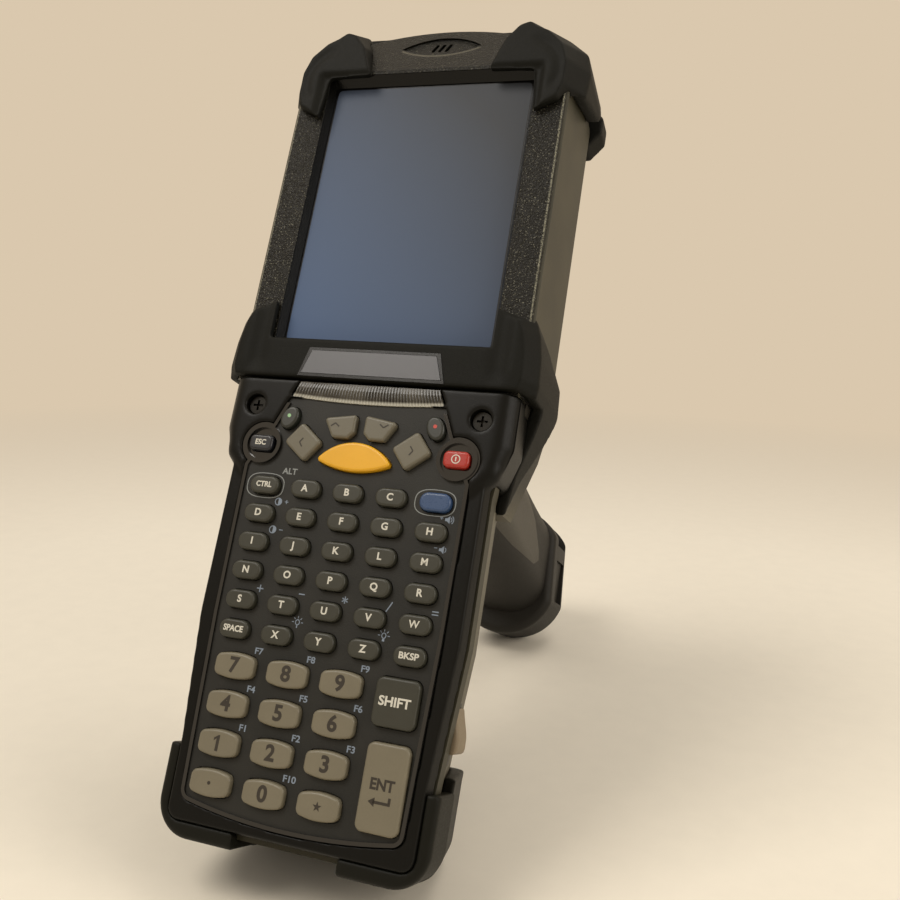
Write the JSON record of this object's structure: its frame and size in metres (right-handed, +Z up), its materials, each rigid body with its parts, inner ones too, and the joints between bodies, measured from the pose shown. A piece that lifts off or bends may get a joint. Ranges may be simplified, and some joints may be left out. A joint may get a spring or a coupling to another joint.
{
  "type": "handheld data terminal",
  "caption": "Pistol-grip handheld computer with a large display over an alphanumeric keypad, rubber corner bumpers, scan window in its nose, trigger handle and rubber foot.",
  "frame": {"origin": "on the resting surface, under the middle of the bounding box", "axes": "+Z up, +X to the right of a viewer who looks at the display, +Y away from them; the terminal leans back on the back edge of its boot and the edge of the handle's foot"},
  "size_m": [0.088, 0.2214, 0.2199],
  "materials": {
    "housing": "fine matt texture",
    "bezel": "satin",
    "rubber": "matt",
    "glass": "anti-glare",
    "screen": "unlit display",
    "gasket": "matt",
    "nameplate": "satin, bare",
    "plate": "fine texture",
    "clear_bar": "clear, ribbed",
    "taupe_key": "translucent",
    "letter_key": "satin",
    "number_key": "satin",
    "amber_key": "gloss",
    "red_key": "gloss",
    "blue_key": "gloss",
    "navy_key": "gloss",
    "mat": "silicone",
    "board": "solder mask",
    "battery": "fine matt texture",
    "button": "satin",
    "handle": "fine matt texture",
    "trigger": "satin",
    "steel": "satin",
    "engine": "cast",
    "scan_glass": "dark red",
    "dark_part": "matt"
  },
  "bodies": {
    "terminal": {"bottom_left_bumper": "rubber", "bottom_right_bumper": "rubber", "collar_bumper": "rubber", "display_gasket": "gasket", "display_glass": "glass", "display_module": "screen", "front_housing": "housing", "handle_foot": "rubber", "handle_left_shell": "handle", "handle_right_shell": "handle", "handle_screws": "steel", "housing_screws": "steel", "io_connector": "dark_part", "keypad_bezel": "bezel", "keypad_board": "board", "keypad_mat": "mat", "keypad_plate": "plate", "keypad_screws": "steel", "light_bar": "clear_bar", "main_board": "board", "nameplate": "nameplate", "nose_bumper": "rubber", "rear_boot": "rubber", "rear_housing": "housing", "scan_bracket": "steel", "scan_engine": "engine", "scan_window": "scan_glass", "speaker": "dark_part", "top_left_bumper": "rubber", "top_right_bumper": "rubber", "trigger_pin": "steel", "trigger_spring": "steel", "trigger_switch": "dark_part"},
    "blue_key": {"blue_key": "blue_key"},
    "down_arrow_key": {"down_arrow_key": "taupe_key"},
    "enter_key": {"enter_key": "number_key"},
    "escape_key": {"escape_key": "navy_key"},
    "left_arrow_key": {"left_arrow_key": "taupe_key"},
    "left_dot_key": {"left_dot_key": "taupe_key"},
    "letter_keys_row_1": {"letter_keys_row_1": "letter_key"},
    "letter_keys_row_2": {"letter_keys_row_2": "letter_key"},
    "letter_keys_row_3": {"letter_keys_row_3": "letter_key"},
    "letter_keys_row_4": {"letter_keys_row_4": "letter_key"},
    "letter_keys_row_5": {"letter_keys_row_5": "letter_key"},
    "letter_keys_row_6": {"letter_keys_row_6": "letter_key"},
    "number_keys_row_1": {"number_keys_row_1": "number_key"},
    "number_keys_row_2": {"number_keys_row_2": "number_key"},
    "number_keys_row_3": {"number_keys_row_3": "number_key"},
    "number_keys_row_4": {"number_keys_row_4": "number_key"},
    "power_key": {"power_key": "red_key"},
    "right_arrow_key": {"right_arrow_key": "taupe_key"},
    "right_dot_key": {"right_dot_key": "taupe_key"},
    "scan_key": {"scan_key": "amber_key"},
    "shift_key": {"shift_key": "letter_key"},
    "up_arrow_key": {"up_arrow_key": "taupe_key"},
    "trigger_body": {"trigger": "trigger"},
    "left_release": {"left_release_button": "button"},
    "right_release": {"right_release_button": "button"},
    "battery": {"battery_pack": "battery"},
    "latch": {"battery_latch": "dark_part"}
  },
  "joints": [
    {"name": "blue_key_press", "type": "slide", "parent": "terminal", "child": "blue_key", "axis": [0, 0.9097, -0.4152], "range_m": [0, 0.0009], "stiffness_N_per_m": 300, "springref_m": -0.001},
    {"name": "down_arrow_key_press", "type": "slide", "parent": "terminal", "child": "down_arrow_key", "axis": [0, 0.9097, -0.4152], "range_m": [0, 0.0009], "stiffness_N_per_m": 600, "springref_m": -0.001},
    {"name": "enter_key_press", "type": "slide", "parent": "terminal", "child": "enter_key", "axis": [0, 0.9097, -0.4152], "range_m": [0, 0.0009], "stiffness_N_per_m": 300, "springref_m": -0.001},
    {"name": "escape_key_press", "type": "slide", "parent": "terminal", "child": "escape_key", "axis": [0, 0.9097, -0.4152], "range_m": [0, 0.0009], "stiffness_N_per_m": 300, "springref_m": -0.001},
    {"name": "left_arrow_key_press", "type": "slide", "parent": "terminal", "child": "left_arrow_key", "axis": [0, 0.9097, -0.4152], "range_m": [0, 0.0009], "stiffness_N_per_m": 600, "springref_m": -0.001},
    {"name": "left_dot_key_press", "type": "slide", "parent": "terminal", "child": "left_dot_key", "axis": [0, 0.9097, -0.4152], "range_m": [0, 0.0009], "stiffness_N_per_m": 300, "springref_m": -0.001},
    {"name": "letter_keys_row_1_press", "type": "slide", "parent": "terminal", "child": "letter_keys_row_1", "axis": [0, 0.9097, -0.4152], "range_m": [0, 0.0009], "stiffness_N_per_m": 600, "springref_m": -0.001},
    {"name": "letter_keys_row_2_press", "type": "slide", "parent": "terminal", "child": "letter_keys_row_2", "axis": [0, 0.9097, -0.4152], "range_m": [0, 0.0009], "stiffness_N_per_m": 600, "springref_m": -0.001},
    {"name": "letter_keys_row_3_press", "type": "slide", "parent": "terminal", "child": "letter_keys_row_3", "axis": [0, 0.9097, -0.4152], "range_m": [0, 0.0009], "stiffness_N_per_m": 600, "springref_m": -0.001},
    {"name": "letter_keys_row_4_press", "type": "slide", "parent": "terminal", "child": "letter_keys_row_4", "axis": [0, 0.9097, -0.4152], "range_m": [0, 0.0009], "stiffness_N_per_m": 600, "springref_m": -0.001},
    {"name": "letter_keys_row_5_press", "type": "slide", "parent": "terminal", "child": "letter_keys_row_5", "axis": [0, 0.9097, -0.4152], "range_m": [0, 0.0009], "stiffness_N_per_m": 600, "springref_m": -0.001},
    {"name": "letter_keys_row_6_press", "type": "slide", "parent": "terminal", "child": "letter_keys_row_6", "axis": [0, 0.9097, -0.4152], "range_m": [0, 0.0009], "stiffness_N_per_m": 600, "springref_m": -0.001},
    {"name": "number_keys_row_1_press", "type": "slide", "parent": "terminal", "child": "number_keys_row_1", "axis": [0, 0.9097, -0.4152], "range_m": [0, 0.0009], "stiffness_N_per_m": 600, "springref_m": -0.001},
    {"name": "number_keys_row_2_press", "type": "slide", "parent": "terminal", "child": "number_keys_row_2", "axis": [0, 0.9097, -0.4152], "range_m": [0, 0.0009], "stiffness_N_per_m": 600, "springref_m": -0.001},
    {"name": "number_keys_row_3_press", "type": "slide", "parent": "terminal", "child": "number_keys_row_3", "axis": [0, 0.9097, -0.4152], "range_m": [0, 0.0009], "stiffness_N_per_m": 600, "springref_m": -0.001},
    {"name": "number_keys_row_4_press", "type": "slide", "parent": "terminal", "child": "number_keys_row_4", "axis": [0, 0.9097, -0.4152], "range_m": [0, 0.0009], "stiffness_N_per_m": 600, "springref_m": -0.001},
    {"name": "power_key_press", "type": "slide", "parent": "terminal", "child": "power_key", "axis": [0, 0.9097, -0.4152], "range_m": [0, 0.0009], "stiffness_N_per_m": 300, "springref_m": -0.001},
    {"name": "right_arrow_key_press", "type": "slide", "parent": "terminal", "child": "right_arrow_key", "axis": [0, 0.9097, -0.4152], "range_m": [0, 0.0009], "stiffness_N_per_m": 600, "springref_m": -0.001},
    {"name": "right_dot_key_press", "type": "slide", "parent": "terminal", "child": "right_dot_key", "axis": [0, 0.9097, -0.4152], "range_m": [0, 0.0009], "stiffness_N_per_m": 300, "springref_m": -0.001},
    {"name": "scan_key_press", "type": "slide", "parent": "terminal", "child": "scan_key", "axis": [0, 0.9097, -0.4152], "range_m": [0, 0.0009], "stiffness_N_per_m": 300, "springref_m": -0.001},
    {"name": "shift_key_press", "type": "slide", "parent": "terminal", "child": "shift_key", "axis": [0, 0.9097, -0.4152], "range_m": [0, 0.0009], "stiffness_N_per_m": 300, "springref_m": -0.001},
    {"name": "up_arrow_key_press", "type": "slide", "parent": "terminal", "child": "up_arrow_key", "axis": [0, 0.9097, -0.4152], "range_m": [0, 0.0009], "stiffness_N_per_m": 600, "springref_m": -0.001},
    {"name": "trigger_pull", "type": "hinge", "parent": "terminal", "child": "trigger_body", "pos_m": [0, 0.00245, 0.11047], "axis": [-1, 0, 0], "range_deg": [0, 8], "stiffness_Nm_per_rad": 0.5, "springref_deg": -8.59},
    {"name": "left_release_press", "type": "slide", "parent": "terminal", "child": "left_release", "axis": [1, 0, 0], "range_m": [0, 0.0012], "stiffness_N_per_m": 600, "springref_m": -0.001},
    {"name": "right_release_press", "type": "slide", "parent": "terminal", "child": "right_release", "axis": [-1, 0, 0], "range_m": [0, 0.0012], "stiffness_N_per_m": 600, "springref_m": -0.001},
    {"name": "battery_out", "type": "slide", "parent": "terminal", "child": "battery", "axis": [0, 0.9097, -0.4152], "range_m": [0, 0.01]},
    {"name": "latch_slide", "type": "slide", "parent": "battery", "child": "latch", "axis": [0, 0.4152, 0.9097], "range_m": [0, 0.003], "stiffness_N_per_m": 300, "springref_m": -0.002}
  ]
}
